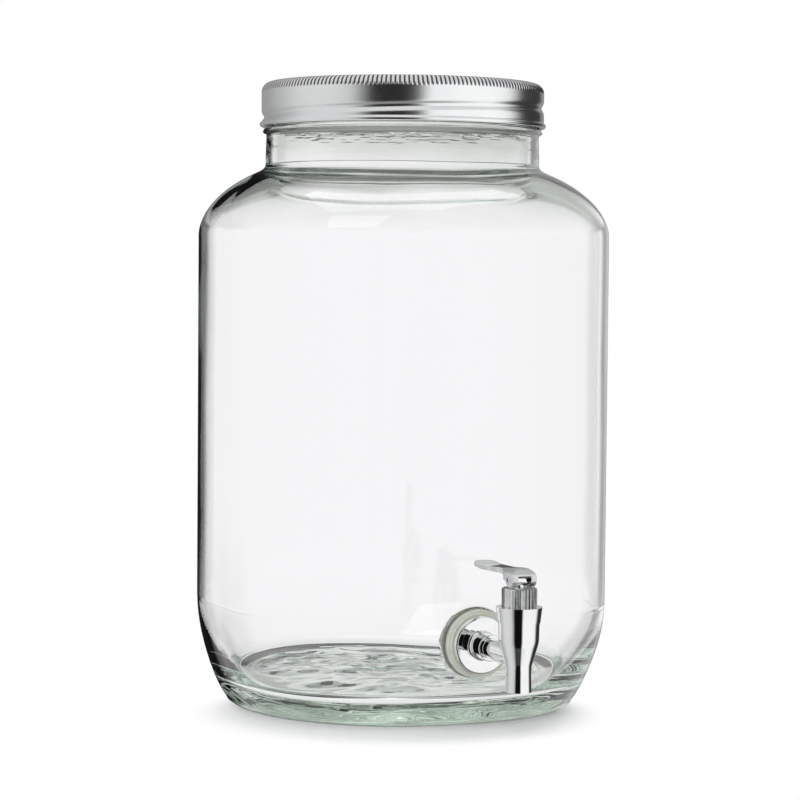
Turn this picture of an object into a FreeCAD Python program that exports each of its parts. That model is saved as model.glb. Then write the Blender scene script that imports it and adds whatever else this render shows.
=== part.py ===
"""Glass jar dispenser: rounded-square jar, screw lid and a lever tap with a lifting valve.

Millimetres, +Z up. The origin is on the jar's axis at the plane that it stands on.
The tap points along -Y. Its pieces are drawn about the point where the axis of its
shank meets the axis of its nozzle.
"""
import FreeCAD, Part
import math
import os
import re

import Sketcher

# Driving dimensions: alias, value and meaning
SIZES = [
    ("body_width", 197.0, "jar across its flat sides"),
    ("section_power", 2.6, "squareness of the body: 2 is round, more is squarer"),
    ("foot_power", 2.15, "squareness of the base"),
    ("wall", 4.6, "glass of the sides"),
    ("base_thickness", 9.5, "glass of the base"),
    ("heel_height", 50.0, "curve from the base to the sides, upwards"),
    ("heel_inset", 16.0, "curve from the base to the sides, inwards"),
    ("heel_power", 1.8, "fullness of that curve: 2 is an ellipse, less is flatter"),
    ("heel_share", 0.97, "how much of that curve is above the base, which cuts it flat"),
    ("shoulder_z", 235.0, "top of the straight sides"),
    ("shoulder_height", 35.0, "from the straight sides up to where the curve ends in the neck"),
    ("shoulder_power", 1.85, "fullness of the shoulder: 2 is an ellipse, less is flatter"),
    ("neck_radius", 68.9, "outside of the neck"),
    ("neck_height", 16.0, "from the end of that curve to the bead"),
    ("neck_wall", 5.1, "glass of the mouth"),
    ("neck_overlap", 13.8, "how far the shoulder runs into the neck"),
    ("neck_round", 4.0, "hollow rounding between the shoulder and the neck"),
    ("bead_proud", 1.9, "bead under the lid, out from the neck"),
    ("bead_height", 3.2, "bead under the lid, along the axis"),
    ("finish_step", 0.4, "how much smaller the glass is inside the lid"),
    ("finish_height", 19.2, "from the bead to the rim"),
    ("rim_round", 1.6, "rounding of the rim"),
    ("seal_gap", 0.1, "between the liner and what it seals"),
    ("liner_thickness", 1.6, "sealing ring of the liner"),
    ("liner_web", 0.8, "middle of the liner"),
    ("liner_ring", 11.0, "width of the sealing ring"),
    ("liner_gap", 1.4, "from the liner's edge to the lid's skirt"),
    ("thread_room", 2.3, "from the glass to the lid's skirt"),
    ("lid_sheet", 0.6, "metal of the lid"),
    ("lid_corner", 3.6, "rounding of the lid's milled edge"),
    ("panel_recess", 1.2, "how far the lid's panel lies under its edge"),
    ("lid_land", 9.0, "width of the raised edge of the lid"),
    ("panel_round", 0.8, "bends of the step round the panel"),
    ("hem_gap", 0.3, "from the bead to the lid's hem"),
    ("hem_height", 2.6, "curled hem, along the axis"),
    ("hem_proud", 1.0, "curled hem, out from the skirt"),
    ("spigot_height", 40.8, "axis of the tap above the base"),
    ("boss_radius", 17.8, "flat glass boss round the tap hole"),
    ("boss_stand", 1.0, "boss out from the side of the jar"),
    ("boss_depth", 6.6, "glass that the tap clamps"),
    ("boss_round", 1.2, "rounding of the boss"),
    ("pad_radius", 16.6, "flat seat of the inner washer, sunk into the heel"),
    ("spigot_reach", 47.0, "from the boss to the nozzle's axis"),
    ("tail_radius", 7.9, "threaded tail of the tap"),
    ("tail_bore", 4.6, "way through the tail"),
    ("hole_gap", 0.4, "from the tail to the glass"),
    ("washer_fit", 0.2, "from the tail to a washer"),
    ("thread_gap", 0.1, "play of a screw thread"),
    ("washer_radius", 16.5, "outer washer"),
    ("washer_thickness", 3.0, "outer washer under the flange"),
    ("washer_step", 0.6, "how much thinner its rim is"),
    ("washer_round", 0.9, "rounding of the washers"),
    ("inner_washer_radius", 14.5, "washer inside the jar"),
    ("inner_washer_thickness", 2.5, "washer inside the jar"),
    ("nut_flats", 24.0, "lock nut across its flats"),
    ("nut_thickness", 8.0, "lock nut along the tail"),
    ("nut_chamfer", 1.2, "lock nut's corners"),
    ("tail_spare", 3.0, "tail past the lock nut"),
    ("flange_radius", 13.9, "flange of the tap"),
    ("flange_thickness", 3.2, "flange of the tap"),
    ("flange_round", 1.3, "rounding of the flange"),
    ("collar_radius", 6.3, "thick part of the shank"),
    ("collar_length", 10.0, "thick part of the shank"),
    ("collar_round", 1.6, "rounding of the collar"),
    ("shank_radius", 5.2, "thin part of the shank"),
    ("passage_radius", 2.8, "way through the shank"),
    ("barrel_top", 23.5, "barrel above the tap's axis"),
    ("barrel_bottom", 15.8, "nozzle below the tap's axis"),
    ("rim_radius", 10.8, "barrel at its top"),
    ("band_height", 7.2, "band round the top of the barrel"),
    ("band_radius", 9.6, "barrel under the band"),
    ("band_step", 0.3, "band out from the barrel"),
    ("barrel_radius", 9.3, "barrel where its taper starts"),
    ("taper_top", 7.0, "start of the taper above the tap's axis"),
    ("taper_bottom", 4.6, "end of the taper below the tap's axis"),
    ("taper_round", 12.0, "bends of the taper"),
    ("nozzle_radius", 5.8, "nozzle under the taper"),
    ("nozzle_flare", 0.3, "nozzle's lip out from it"),
    ("chamber_radius", 6.8, "valve chamber, which the bonnet screws into"),
    ("seat_radius", 4.9, "top of the valve seat"),
    ("seat_drop", 3.0, "top of the valve seat below the tap's axis"),
    ("seat_height", 2.4, "slope of the valve seat"),
    ("outlet_radius", 3.4, "way out through the nozzle"),
    ("seat_gap", 0.3, "from the plug to its seat"),
    ("plug_top", 1.5, "top of the plug above the tap's axis"),
    ("socket_depth", 3.0, "hole in the plug for the stem"),
    ("socket_fit", 0.05, "from the stem to the plug"),
    ("bonnet_radius", 8.25, "grip of the bonnet"),
    ("bonnet_height", 8.9, "grip of the bonnet"),
    ("bonnet_round", 1.0, "rounding of the grip"),
    ("bonnet_plug", 6.2, "part of the bonnet that screws in"),
    ("guide_length", 4.0, "hole that guides the stem"),
    ("guide_gap", 0.05, "from the stem to its guide"),
    ("seal_bore", 3.2, "bore that the stem's ring seals"),
    ("flute_count", 6, "flutes round the grip"),
    ("flute_radius", 1.7, "flutes round the grip"),
    ("flute_depth", 0.9, "flutes into the grip"),
    ("stem_radius", 2.3, "rod of the stem"),
    ("eye_radius", 3.0, "eye of the stem"),
    ("eye_width", 6.2, "eye of the stem along the pin"),
    ("ring_radius", 0.55, "section of the sealing ring"),
    ("ring_lift", 3.0, "sealing ring above the foot of the bonnet"),
    ("ring_fit", 0.05, "from the sealing ring to its bore and groove"),
    ("groove_gap", 0.1, "sealing ring's groove, above and below it"),
    ("spring_radius", 3.75, "middle of the spring's wire"),
    ("wire_radius", 0.4, "spring's wire"),
    ("spring_turns", 5, "turns of the spring"),
    ("spring_gap", 0.1, "from the spring to its seats"),
    ("pin_radius", 1.1, "pivot pin"),
    ("pin_fit", 0.02, "from the pin to the eye that grips it"),
    ("pin_gap", 0.06, "from the pin to the lever that turns on it"),
    ("pin_short", 0.3, "pin's ends inside the lever's sides"),
    ("cam_radius", 4.4, "round cheeks that work on the bonnet"),
    ("cam_offset", 2.0, "pin out of the middle of the cheeks"),
    ("cam_gap", 0.3, "from the cheeks to the bonnet"),
    ("lever_travel", 80.0, "tilt that opens the valve, in degrees"),
    ("lever_width", 12.0, "lever over its cheeks"),
    ("lever_length", 43.0, "from the pin to the paddle's tip"),
    ("arch_round", 5.0, "shoulders of the lever's head, seen from the front"),
    ("arm_neck", 11.0, "from the pin to the narrowest place"),
    ("arm_width", 6.6, "lever at its narrowest"),
    ("arm_thickness", 1.8, "lever's sheet"),
    ("arm_fall", 2.0, "from the top of the cheeks down to the paddle"),
    ("arm_bend", 22.0, "bends of the arm"),
    ("paddle_width", 11.2, "paddle of the lever"),
    ("paddle_length", 11.0, "turned-up end of the paddle"),
    ("paddle_round", 5.4, "corners of the paddle's tip"),
    ("tip_rise", 1.1, "turned-up end of the paddle"),
    ("slot_gap", 0.3, "from the eye to the slot round it"),
    ("cheek_gap", 0.2, "from the eye to the cheeks beside it"),
    ("trim_margin", 5.0, "blank round the lever before it is cut to its plan"),
]

# Sizes worked out from the driving dimensions
DERIVED = {
    "half_width": "body_width / 2",
    "neck_z": "shoulder_z + shoulder_height",
    "bead_bottom": "neck_z + neck_height",
    "bead_top": "bead_bottom + bead_height",
    "rim_z": "bead_top + finish_height",
    "finish_radius": "neck_radius - finish_step",
    "mouth_radius": "finish_radius - neck_wall",
    "liner_bottom": "rim_z + seal_gap",
    "liner_top": "liner_bottom + liner_thickness",
    "panel_bottom": "liner_top + seal_gap",
    "panel_top": "panel_bottom + lid_sheet",
    "lid_top": "panel_top + panel_recess",
    "lid_bottom": "bead_top + hem_gap",
    "hem_top": "lid_bottom + hem_height",
    "skirt_inside": "finish_radius + thread_room",
    "skirt_outside": "skirt_inside + lid_sheet",
    "panel_edge": "skirt_outside - lid_land",
    "liner_edge": "skirt_inside - liner_gap",
    "boss_face": "half_width + boss_stand",
    "hole_radius": "tail_radius + hole_gap",
    "nozzle_y": "boss_face + spigot_reach",
    "washer_front": "spigot_reach - washer_thickness",
    "flange_front": "washer_front - flange_thickness",
    "collar_front": "flange_front - collar_length",
    "glass_back": "spigot_reach + boss_depth",
    "nut_front": "glass_back + inner_washer_thickness",
    "nut_back": "nut_front + nut_thickness",
    "tail_end": "nut_back + tail_spare",
    "nut_corner": "nut_flats / sqrt(3)",
    "nut_bore": "tail_radius + thread_gap",
    "washer_bore": "tail_radius + washer_fit",
    "band_z": "barrel_top - band_height",
    "seat_bottom": "seat_drop + seat_height",
    "bonnet_top": "barrel_top + bonnet_height",
    "bonnet_foot": "barrel_top - bonnet_plug",
    "bonnet_screw": "chamber_radius - thread_gap",
    "guide_radius": "stem_radius + guide_gap",
    "plug_radius": "seat_radius - seat_gap",
    "plug_nose": "outlet_radius - seat_gap",
    "socket_floor": "plug_top - socket_depth",
    "ring_z": "bonnet_foot + ring_lift",
    "ring_middle": "seal_bore - ring_fit - ring_radius",
    "ring_groove": "ring_middle - ring_radius - ring_fit",
    "groove_half": "ring_radius + groove_gap",
    "spring_low": "plug_top + spring_gap + wire_radius",
    "spring_high": "bonnet_foot - spring_gap - wire_radius",
    "cam_rise": "cam_offset * sin(lever_travel / 2)",
    "cam_back": "cam_offset * cos(lever_travel / 2)",
    "pin_z": "bonnet_top + cam_gap + cam_radius - cam_rise",
    "head_top": "cam_rise + cam_radius",
    "slot_radius": "eye_radius + slot_gap",
    "slot_width": "eye_width + 2 * cheek_gap",
    "slot_front": "cam_back + cam_radius + slot_radius",
    "slot_slope": "tan(90 - lever_travel)",
    "arm_low": "head_top - arm_fall",
    "paddle_start": "lever_length - paddle_length",
}

# How finely the curved glass is divided
SECTION_POINTS = 32
HEEL_STEPS = 8
SIDE_STEPS = 10
SHOULDER_STEPS = 9

# How far a cut runs past the solid that it cuts
PAST = 1.0

doc = FreeCAD.newDocument("JarDispenser")
sheet = doc.addObject("Spreadsheet::Sheet", "Sizes")
for row, (alias, number, meaning) in enumerate(SIZES, start=1):
    sheet.set(f"A{row}", meaning)
    sheet.set(f"B{row}", str(number))
    sheet.setAlias(f"B{row}", alias)
doc.recompute()

ALIASES = {alias for alias, number, meaning in SIZES}


def expression(formula):
    """Rewrite a formula of named sizes as an expression of the sheet's cells."""
    def swap(found):
        word = found.group(0)
        if word in DERIVED:
            return "(" + expression(DERIVED[word]) + ")"
        if word in ALIASES:
            return "Sizes." + word
        return word
    return re.sub(r"[a-z_]+", swap, str(formula))


def value(formula):
    """Work a formula out with the sheet's present numbers."""
    return float(sheet.evalExpression(expression(formula)))


def bind(item, prop, formula):
    """Tie one property of an object to a formula of named sizes."""
    item.setExpression(prop, expression(formula))


def new_body(name, along_y="0", along_z="0"):
    """Start a sub-part whose own origin lies at the given place in the jar."""
    body = doc.addObject("PartDesign::Body", name)
    body.Label = name
    bind(body, "Placement.Base.y", along_y)
    bind(body, "Placement.Base.z", along_z)
    return body


def tap_body(name, along_z="0"):
    """Start a sub-part of the tap, drawn about the nozzle's axis."""
    return new_body(name, "-nozzle_y", f"spigot_height + {along_z}")


def new_sketch(body, name, plane, offset="0"):
    """Lay a sketch on one of the body's own planes, moved along that plane's normal."""
    sketch = body.newObject("Sketcher::SketchObject", name)
    support = [item for item in body.Origin.OriginFeatures if item.Role == plane][0]
    sketch.AttachmentSupport = [(support, "")]
    sketch.MapMode = "FlatFace"
    bind(sketch, "AttachmentOffset.Base.z", offset)
    return sketch


def pin_point(sketch, shape, end, across, up):
    """Dimension one point of a sketch from the sketch's origin."""
    for kind, formula in (("DistanceX", across), ("DistanceY", up)):
        number = value(formula)
        index = sketch.addConstraint(Sketcher.Constraint(kind, -1, 1, shape, end, number))
        bind(sketch, f"Constraints[{index}]", formula)


def fix_radius(sketch, shape, formula):
    """Dimension the radius of an arc or a circle."""
    index = sketch.addConstraint(Sketcher.Constraint("Radius", shape, value(formula)))
    bind(sketch, f"Constraints[{index}]", formula)


def add_circle(sketch, across, up, radius):
    """Draw a dimensioned circle."""
    centre = FreeCAD.Vector(value(across), value(up), 0)
    normal = FreeCAD.Vector(0, 0, 1)
    shape = sketch.addGeometry(Part.Circle(centre, normal, value(radius)), False)
    pin_point(sketch, shape, 3, across, up)
    fix_radius(sketch, shape, radius)


def rounded_corner(corner, before, after, radius):
    """Give the arc that rounds a corner: its centre, and where it leaves both sides."""
    back = (before - corner).normalize()
    onward = (after - corner).normalize()
    half_angle = back.getAngle(onward) / 2
    reach = radius / math.tan(half_angle)
    centre = corner + (back + onward).normalize() * (radius / math.sin(half_angle))
    return centre, corner + back * reach, corner + onward * reach


def add_outline(sketch, corners):
    """Draw a closed outline through the corners: (across, up) or (across, up, rounding)."""
    count = len(corners)
    places = [FreeCAD.Vector(value(corner[0]), value(corner[1]), 0) for corner in corners]
    starts = list(places)
    ends = list(places)
    arcs = {}
    for index, corner in enumerate(corners):
        if len(corner) == 3:
            before = places[index - 1]
            after = places[(index + 1) % count]
            arc = rounded_corner(places[index], before, after, value(corner[2]))
            arcs[index] = arc[0]
            ends[index] = arc[1]
            starts[index] = arc[2]
    sides = []
    for index in range(count):
        line = Part.LineSegment(starts[index], ends[(index + 1) % count])
        sides.append(sketch.addGeometry(line, False))
    for index, corner in enumerate(corners):
        before = sides[index - 1]
        after = sides[index]
        if index in arcs:
            touches = (ends[index], starts[index])
            round_corner(sketch, corner, places[index], (before, after), arcs[index], touches)
        else:
            sketch.addConstraint(Sketcher.Constraint("Coincident", before, 2, after, 1))
            pin_point(sketch, after, 1, corner[0], corner[1])


def round_corner(sketch, corner, place, sides, centre, touches):
    """Join two sides of an outline by a tangent arc, with the sharp corner kept as a point."""
    before, after = sides
    first = touches[0] - centre
    last = touches[1] - centre
    leftward = first.cross(last).z > 0
    angles = [math.atan2(first.y, first.x), math.atan2(last.y, last.x)]
    if not leftward:
        angles.reverse()
    circle = Part.Circle(centre, FreeCAD.Vector(0, 0, 1), first.Length)
    arc = sketch.addGeometry(Part.ArcOfCircle(circle, angles[0], angles[1]), False)
    enter, leave = (1, 2) if leftward else (2, 1)
    sketch.addConstraint(Sketcher.Constraint("Tangent", before, 2, arc, enter))
    sketch.addConstraint(Sketcher.Constraint("Tangent", after, 1, arc, leave))
    fix_radius(sketch, arc, corner[2])
    point = sketch.addGeometry(Part.Point(place), True)
    pin_point(sketch, point, 1, corner[0], corner[1])
    sketch.addConstraint(Sketcher.Constraint("PointOnObject", point, 1, before))
    sketch.addConstraint(Sketcher.Constraint("PointOnObject", point, 1, after))


def turn(body, name, corners, axis="V_Axis", cut=False):
    """Turn an outline in the YZ plane about its upright or its level axis, as a solid or a cut."""
    sketch = new_sketch(body, name + "_outline", "YZ_Plane")
    add_outline(sketch, corners)
    kind = "PartDesign::Groove" if cut else "PartDesign::Revolution"
    feature = body.newObject(kind, name)
    feature.Profile = sketch
    feature.ReferenceAxis = (sketch, [axis])
    feature.Angle = 360
    return feature


def extrude(body, name, sketch, length, cut=False, reverse=False, both_ways=True):
    """Pad or pocket a sketch, by half of the length to each side unless told otherwise."""
    kind = "PartDesign::Pocket" if cut else "PartDesign::Pad"
    feature = body.newObject(kind, name)
    feature.Profile = sketch
    feature.SideType = "Symmetric" if both_ways else "One side"
    feature.Reversed = reverse
    bind(feature, "Length", length)
    return feature


def section_wire(half_width, power, height):
    """Draw one closed section of the jar: a superellipse, which is a circle at power 2."""
    points = []
    for index in range(SECTION_POINTS):
        angle = 2 * math.pi * index / SECTION_POINTS
        across = math.cos(angle)
        along = math.sin(angle)
        reach = half_width / (abs(across) ** power + abs(along) ** power) ** (1 / power)
        points.append(FreeCAD.Vector(reach * across, reach * along, height))
    shares = [index / SECTION_POINTS for index in range(SECTION_POINTS + 1)]
    curve = Part.BSplineCurve()
    curve.interpolate(Points=points, PeriodicFlag=True, Parameters=shares)
    return Part.Wire(curve.toShape())


def jar_form(half_width, floor_z, neck_z, neck_radius):
    """Loft the body of the jar from its base to its neck: heel, straight sides and shoulder."""
    power = value("section_power")
    foot_power = value("foot_power")
    heel_top = value("heel_height")
    heel_inset = value("heel_inset")
    heel_share = value("heel_share")
    heel_fullness = 2 / value("heel_power")
    side_top = value("shoulder_z")
    fullness = 2 / value("shoulder_power")
    foot_angle = math.asin(heel_share ** (1 / heel_fullness))
    wires = []
    for step in range(HEEL_STEPS):
        angle = foot_angle * (1 - step / HEEL_STEPS)
        drop = math.sin(angle) ** heel_fullness / heel_share
        inset = heel_inset * (1 - math.cos(angle) ** heel_fullness)
        roundness = power + (foot_power - power) * drop
        height = heel_top - (heel_top - floor_z) * drop
        wires.append(section_wire(half_width - inset, roundness, height))
    for step in range(SIDE_STEPS):
        share = (1 - math.cos(math.pi * step / SIDE_STEPS)) / 2
        wires.append(section_wire(half_width, power, heel_top + (side_top - heel_top) * share))
    for step in range(SHOULDER_STEPS + 1):
        angle = math.pi / 2 * step / SHOULDER_STEPS
        height = side_top + (neck_z - side_top) * math.sin(angle) ** fullness
        inset = (half_width - neck_radius) * (1 - max(math.cos(angle), 0.0) ** fullness)
        roundness = power + (2 - power) * math.sin(angle) ** 2
        wires.append(section_wire(half_width - inset, roundness, height))
    return Part.makeLoft(wires, True, False)


def jar_neck():
    """Turn the neck, the bead under the lid and the finish that the lid screws on."""
    low = value("neck_z - shoulder_height / 2")
    neck = value("neck_radius")
    finish = value("finish_radius")
    bead_bottom = value("bead_bottom")
    bead_top = value("bead_top")
    rim = value("rim_z")
    rounding = value("rim_round")
    bow = rounding * (1 - math.sqrt(0.5))

    def at(radius, height):
        return FreeCAD.Vector(0, radius, height)

    bead_tip = at(neck + value("bead_proud"), (bead_bottom + bead_top) / 2)
    rim_bow = at(finish - bow, rim - bow)
    edges = [
        Part.LineSegment(at(0, low), at(neck, low)),
        Part.LineSegment(at(neck, low), at(neck, bead_bottom)),
        Part.Arc(at(neck, bead_bottom), bead_tip, at(finish, bead_top)),
        Part.LineSegment(at(finish, bead_top), at(finish, rim - rounding)),
        Part.Arc(at(finish, rim - rounding), rim_bow, at(finish - rounding, rim)),
        Part.LineSegment(at(finish - rounding, rim), at(0, rim)),
        Part.LineSegment(at(0, rim), at(0, low)),
    ]
    face = Part.Face(Part.Wire([edge.toShape() for edge in edges]))
    return face.revolve(FreeCAD.Vector(0, 0, 0), FreeCAD.Vector(0, 0, 1), 360)


def round_neck(glass):
    """Round the hollow corner where the shoulder meets the neck."""
    neck = value("neck_radius")
    top = value("bead_bottom") - PAST
    corner = []
    for edge in glass.Edges:
        box = edge.BoundBox
        on_neck = abs(box.XMax - neck) < value("finish_step") / 2
        if on_neck and box.ZMax < top and box.ZLength < value("neck_round"):
            corner.append(edge)
    return glass.makeFillet(value("neck_round"), corner)


def level_cylinder(radius, front, length):
    """Make a cylinder on the tap's axis, from its front face back towards the jar's axis."""
    place = FreeCAD.Vector(0, front, value("spigot_height"))
    return Part.makeCylinder(radius, length, place, FreeCAD.Vector(0, 1, 0))


def tap_boss():
    """Make the flat glass boss that the tap is clamped to, rounded round its outer face."""
    boss = level_cylinder(value("boss_radius"), value("-boss_face"), value("boss_depth"))
    front = [edge for edge in boss.Edges if edge.BoundBox.YMax < value("-boss_face") + PAST]
    return boss.makeFillet(value("boss_round"), front)


def split_by_height(glass, heights):
    """Divide the glass at level planes into solids that meet face to face: base, sides and neck.

    The jar is still one piece. In three solids, its hollow stays open to the things that go in it.
    """
    reach = value("body_width")
    levels = [-PAST] + [value(height) for height in heights] + [value("rim_z") + PAST]
    solids = []
    for low, high in zip(levels, levels[1:]):
        corner = FreeCAD.Vector(-reach, -reach, low)
        block = Part.makeBox(2 * reach, 2 * reach, high - low, corner)
        solids += glass.common(block).Solids
    return Part.makeCompound(solids)


def make_glass_jar():
    """Build the jar from its outer form, its hollow, its neck and its boss."""
    overlap = value("neck_overlap")
    outer = jar_form(value("half_width"), 0.0, value("neck_z"), value("neck_radius") - overlap)
    inner_top = value("neck_z - wall")
    inner_neck = value("mouth_radius") - overlap
    inner = jar_form(value("half_width - wall"), value("base_thickness"), inner_top, inner_neck)
    bore_low = inner_top - value("shoulder_height / 2")
    bore_length = value("rim_z") + PAST - bore_low
    bore = Part.makeCylinder(value("mouth_radius"), bore_length, FreeCAD.Vector(0, 0, bore_low))
    hole_front = value("-boss_face") - PAST
    hole = level_cylinder(value("hole_radius"), hole_front, value("boss_depth") + 2 * PAST)
    pad = level_cylinder(value("pad_radius"), value("boss_depth - boss_face"), value("heel_inset"))
    glass = round_neck(outer.fuse(jar_neck())).cut(inner).cut(bore)
    glass = glass.fuse(tap_boss()).cut(hole).cut(pad)
    jar = doc.addObject("Part::Feature", "glass_jar")
    jar.Label = "glass_jar"
    jar.Shape = split_by_height(glass.removeSplitter().Solids[0], ["base_thickness", "shoulder_z"])
    jar.Placement = FreeCAD.Placement()
    return jar


def make_lid_shell():
    """Press the lid from one sheet: recessed panel, rounded edge, skirt and curled hem."""
    body = new_body("lid_shell")
    turn(body, "lid_sheet_form", [
        ("0", "panel_top"),
        ("panel_edge", "panel_top", "panel_round"),
        ("panel_edge + panel_recess", "lid_top", "panel_round"),
        ("skirt_outside", "lid_top", "lid_corner"),
        ("skirt_outside", "hem_top"),
        ("skirt_outside + hem_proud", "hem_top - hem_proud"),
        ("skirt_outside + hem_proud", "lid_bottom + hem_proud"),
        ("skirt_outside", "lid_bottom"),
        ("skirt_inside", "lid_bottom"),
        ("skirt_inside", "lid_top - lid_sheet", "lid_corner - lid_sheet"),
        ("panel_edge + panel_recess + lid_sheet / 2", "lid_top - lid_sheet"),
        ("panel_edge + lid_sheet / 2", "panel_bottom"),
        ("0", "panel_bottom"),
    ])
    return body


def make_lid_liner():
    """Mould the liner: a thin disc with a thicker ring that seals on the rim."""
    body = new_body("lid_liner")
    turn(body, "liner_disc", [
        ("0", "liner_top"),
        ("liner_edge", "liner_top"),
        ("liner_edge", "liner_bottom"),
        ("liner_edge - liner_ring", "liner_bottom"),
        ("liner_edge - liner_ring", "liner_top - liner_web"),
        ("0", "liner_top - liner_web"),
    ])
    return body


def make_spigot_body():
    """Mould the tap: barrel and nozzle, then shank, flange and tail, then the ways through it."""
    body = tap_body("spigot_body")
    turn(body, "barrel", [
        ("0", "-barrel_bottom"),
        ("nozzle_radius + nozzle_flare", "-barrel_bottom"),
        ("nozzle_radius", "-taper_bottom", "taper_round"),
        ("barrel_radius", "taper_top", "taper_round"),
        ("band_radius", "band_z"),
        ("band_radius + band_step", "band_z"),
        ("rim_radius", "barrel_top"),
        ("0", "barrel_top"),
    ])
    turn(body, "shank", [
        ("0", "0"),
        ("0", "shank_radius"),
        ("collar_front", "shank_radius"),
        ("collar_front", "collar_radius", "(collar_radius - shank_radius) / 2"),
        ("flange_front", "collar_radius", "collar_round"),
        ("flange_front", "flange_radius", "flange_round"),
        ("washer_front", "flange_radius"),
        ("washer_front", "tail_radius"),
        ("tail_end", "tail_radius"),
        ("tail_end", "0"),
    ], axis="H_Axis")
    turn(body, "passage", [
        ("0", "0"),
        ("0", "passage_radius"),
        ("flange_front", "passage_radius"),
        ("washer_front", "tail_bore"),
        (f"tail_end + {PAST}", "tail_bore"),
        (f"tail_end + {PAST}", "0"),
    ], axis="H_Axis", cut=True)
    turn(body, "chamber", [
        ("0", f"barrel_top + {PAST}"),
        ("chamber_radius", f"barrel_top + {PAST}"),
        ("chamber_radius", "taper_top"),
        ("seat_radius", "-seat_drop"),
        ("outlet_radius", "-seat_bottom"),
        ("outlet_radius", f"-barrel_bottom - {PAST}"),
        ("0", f"-barrel_bottom - {PAST}"),
    ], cut=True)
    return body


def make_outer_washer():
    """Mould the washer between the flange and the glass, thinner outside the flange."""
    body = tap_body("outer_washer")
    turn(body, "outer_ring", [
        ("washer_front", "washer_bore"),
        ("washer_front", "flange_radius + washer_step"),
        ("washer_front + washer_step", "flange_radius + 2 * washer_step"),
        ("washer_front + washer_step", "washer_radius", "washer_round"),
        ("spigot_reach", "washer_radius"),
        ("spigot_reach", "washer_bore"),
    ], axis="H_Axis")
    return body


def make_inner_washer():
    """Mould the washer between the glass and the lock nut."""
    body = tap_body("inner_washer")
    turn(body, "inner_ring", [
        ("glass_back", "washer_bore"),
        ("glass_back", "inner_washer_radius"),
        ("nut_front", "inner_washer_radius", "washer_round"),
        ("nut_front", "washer_bore"),
    ], axis="H_Axis")
    return body


def make_lock_nut():
    """Make the hexagonal nut that clamps the tap to the glass, with its corners turned off."""
    body = tap_body("lock_nut")
    sketch = new_sketch(body, "hexagon", "XZ_Plane", "-nut_front")
    angles = range(0, 360, 60)
    add_outline(sketch, [(f"nut_corner * cos({angle})", f"nut_corner * sin({angle})") for angle in angles])
    add_circle(sketch, "0", "0", "nut_bore")
    extrude(body, "nut_block", sketch, "nut_thickness", reverse=True, both_ways=False)
    turn(body, "corner_cut", [
        ("nut_back", "nut_flats / 2"),
        ("nut_back - nut_chamfer", "nut_corner"),
        ("nut_back - nut_chamfer", f"nut_corner + {PAST}"),
        ("nut_back", f"nut_corner + {PAST}"),
    ], axis="H_Axis", cut=True)
    return body


def make_bonnet():
    """Turn the bonnet with its guide and sealing bore, and cut the flutes of its grip."""
    body = tap_body("bonnet")
    turn(body, "cap", [
        ("seal_bore", "bonnet_foot"),
        ("bonnet_screw", "bonnet_foot"),
        ("bonnet_screw", "barrel_top"),
        ("bonnet_radius", "barrel_top"),
        ("bonnet_radius", "bonnet_top", "bonnet_round"),
        ("guide_radius", "bonnet_top"),
        ("guide_radius", "bonnet_top - guide_length"),
        ("seal_bore", "bonnet_top - guide_length"),
    ])
    sketch = new_sketch(body, "flute_circle", "XY_Plane", "barrel_top")
    add_circle(sketch, "bonnet_radius + flute_radius - flute_depth", "0", "flute_radius")
    flute_length = f"bonnet_height + {PAST}"
    flute = extrude(body, "flute", sketch, flute_length, cut=True, reverse=True, both_ways=False)
    flutes = body.newObject("PartDesign::PolarPattern", "flutes")
    flutes.Originals = [flute]
    flutes.Axis = (sketch, ["N_Axis"])
    flutes.Angle = 360
    bind(flutes, "Occurrences", "flute_count")
    body.Tip = flutes
    return body


def make_valve_stem():
    """Make the stem: a rod with a groove for its sealing ring, and the eye for the pin."""
    body = tap_body("valve_stem")
    turn(body, "rod", [
        ("0", "socket_floor"),
        ("stem_radius", "socket_floor"),
        ("stem_radius", "ring_z - groove_half"),
        ("ring_groove", "ring_z - groove_half"),
        ("ring_groove", "ring_z + groove_half"),
        ("stem_radius", "ring_z + groove_half"),
        ("stem_radius", "pin_z"),
        ("0", "pin_z"),
    ])
    eye = new_sketch(body, "eye_circle", "YZ_Plane")
    add_circle(eye, "0", "pin_z", "eye_radius")
    extrude(body, "eye", eye, "eye_width")
    hole = new_sketch(body, "pin_circle", "YZ_Plane")
    add_circle(hole, "0", "pin_z", "pin_radius + pin_fit")
    extrude(body, "pin_hole", hole, f"eye_width + {PAST}", cut=True)
    return body


def make_valve_plug():
    """Mould the soft plug, whose cone lies along the valve seat."""
    body = tap_body("valve_plug")
    turn(body, "plug", [
        ("0", "-seat_bottom"),
        ("plug_nose", "-seat_bottom"),
        ("plug_radius", "-seat_drop"),
        ("plug_radius", "plug_top"),
        ("stem_radius + socket_fit", "plug_top"),
        ("stem_radius + socket_fit", "socket_floor"),
        ("0", "socket_floor"),
    ])
    return body


def make_stem_o_ring():
    """Make the ring that seals the stem in the bonnet."""
    ring = doc.addObject("Part::Torus", "stem_o_ring")
    ring.Label = "stem_o_ring"
    bind(ring, "Radius1", "ring_middle")
    bind(ring, "Radius2", "ring_radius")
    bind(ring, "Placement.Base.y", "-nozzle_y")
    bind(ring, "Placement.Base.z", "spigot_height + ring_z")
    return ring


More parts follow.
